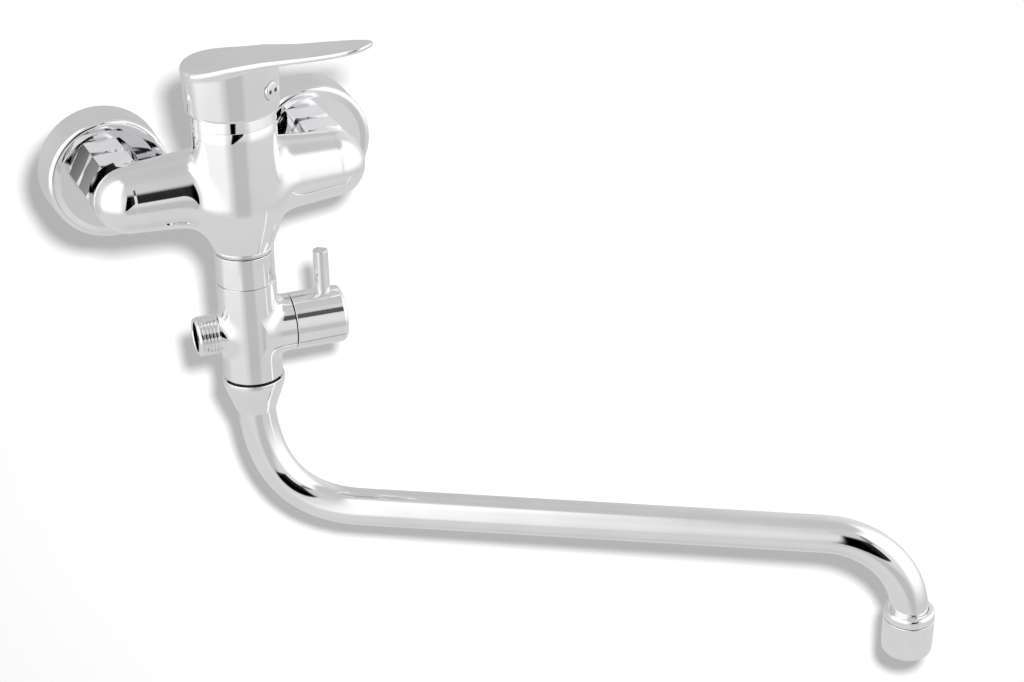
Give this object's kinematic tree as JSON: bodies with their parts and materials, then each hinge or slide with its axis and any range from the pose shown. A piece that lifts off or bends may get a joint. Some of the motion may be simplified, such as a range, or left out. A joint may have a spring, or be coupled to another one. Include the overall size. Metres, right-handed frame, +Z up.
{
  "type": "wall-mounted single-lever mixer tap",
  "caption": "Wall-mounted single-lever bath and shower mixer with eccentric unions, cup escutcheons, a knob-turned diverter, a shower hose outlet and a long swivel spout with aerator.",
  "frame": {"origin": "on the finished wall, midway between the axes of the two wall outlets", "axes": "+Z up, +Y into the wall, +X to the right for someone who faces the wall"},
  "size_m": [0.3967, 0.2761, 0.3419],
  "materials": {
    "chrome": "polished chrome plate",
    "brass": "machined brass",
    "steel": "turned stainless steel",
    "rubber": "moulded rubber",
    "acetal": "moulded acetal",
    "ceramic": "lapped alumina",
    "chromed_plastic": "chrome-plated plastic",
    "hot_red": "glossy print",
    "cold_blue": "glossy print"
  },
  "bodies": {
    "body": {"escutcheon_left": "chrome", "eccentric_union_left": "chrome", "inlet_nut_left": "chrome", "inlet_gasket_left": "rubber", "inlet_tail_left": "brass", "escutcheon_right": "chrome", "eccentric_union_right": "chrome", "inlet_nut_right": "chrome", "inlet_gasket_right": "rubber", "inlet_tail_right": "brass", "mixer_body": "chrome", "cartridge_base": "acetal", "cartridge_seals": "rubber", "fixed_disc": "ceramic", "cartridge_housing": "acetal", "cartridge_nut": "brass", "dome_ring": "chrome", "outlet_ring": "chrome", "diverter_gasket": "rubber", "diverter_collar": "chrome", "diverter_body": "chrome", "diverter_seal": "rubber", "diverter_fixed_disc": "ceramic", "diverter_cartridge": "brass", "diverter_gland": "brass", "spout_nut": "chrome", "spout_slide_ring": "acetal"},
    "rotor": {"cartridge_rotor": "acetal", "pivot_pin": "steel"},
    "lever": {"handle": "chrome", "cartridge_stem": "brass", "handle_screw": "steel", "index_plug": "chromed_plastic", "hot_mark": "hot_red", "cold_mark": "cold_blue"},
    "disc": {"moving_disc": "ceramic", "disc_carrier": "acetal"},
    "knob": {"diverter_knob": "chrome", "diverter_pin": "chrome", "diverter_spindle": "brass", "diverter_moving_disc": "ceramic"},
    "spout": {"spout_tube": "chrome", "spout_insert": "brass", "spout_orings": "rubber", "spout_end": "chrome", "aerator_gasket": "rubber", "aerator_insert": "acetal", "aerator_shell": "chrome"}
  },
  "joints": [
    {"name": "lever_swing", "type": "hinge", "parent": "body", "child": "rotor", "pos_m": [0, -0.062, 0.038], "axis": [0, 0, 1], "range_deg": [-87, 13]},
    {"name": "lever_lift", "type": "hinge", "parent": "rotor", "child": "lever", "pos_m": [0, -0.062, 0.038], "axis": [-0.7986, -0.6018, 0], "range_deg": [0, 22]},
    {"name": "disc_slide", "type": "slide", "parent": "rotor", "child": "disc", "axis": [0.6018, -0.7986, 0], "range_m": [0, 0.00455]},
    {"name": "knob_turn", "type": "hinge", "parent": "body", "child": "knob", "pos_m": [0, -0.062, -0.0786], "axis": [0.9969, -0.0785, 0], "range_deg": [0, 90]},
    {"name": "spout_swivel", "type": "hinge", "parent": "body", "child": "spout", "pos_m": [0, -0.062, -0.105], "axis": [0, 0, 1], "range_deg": [-152, 37]}
  ],
  "couplings": [
    {"joint": "disc_slide", "follows": "lever_lift", "m_per_rad": 0.0117}
  ]
}
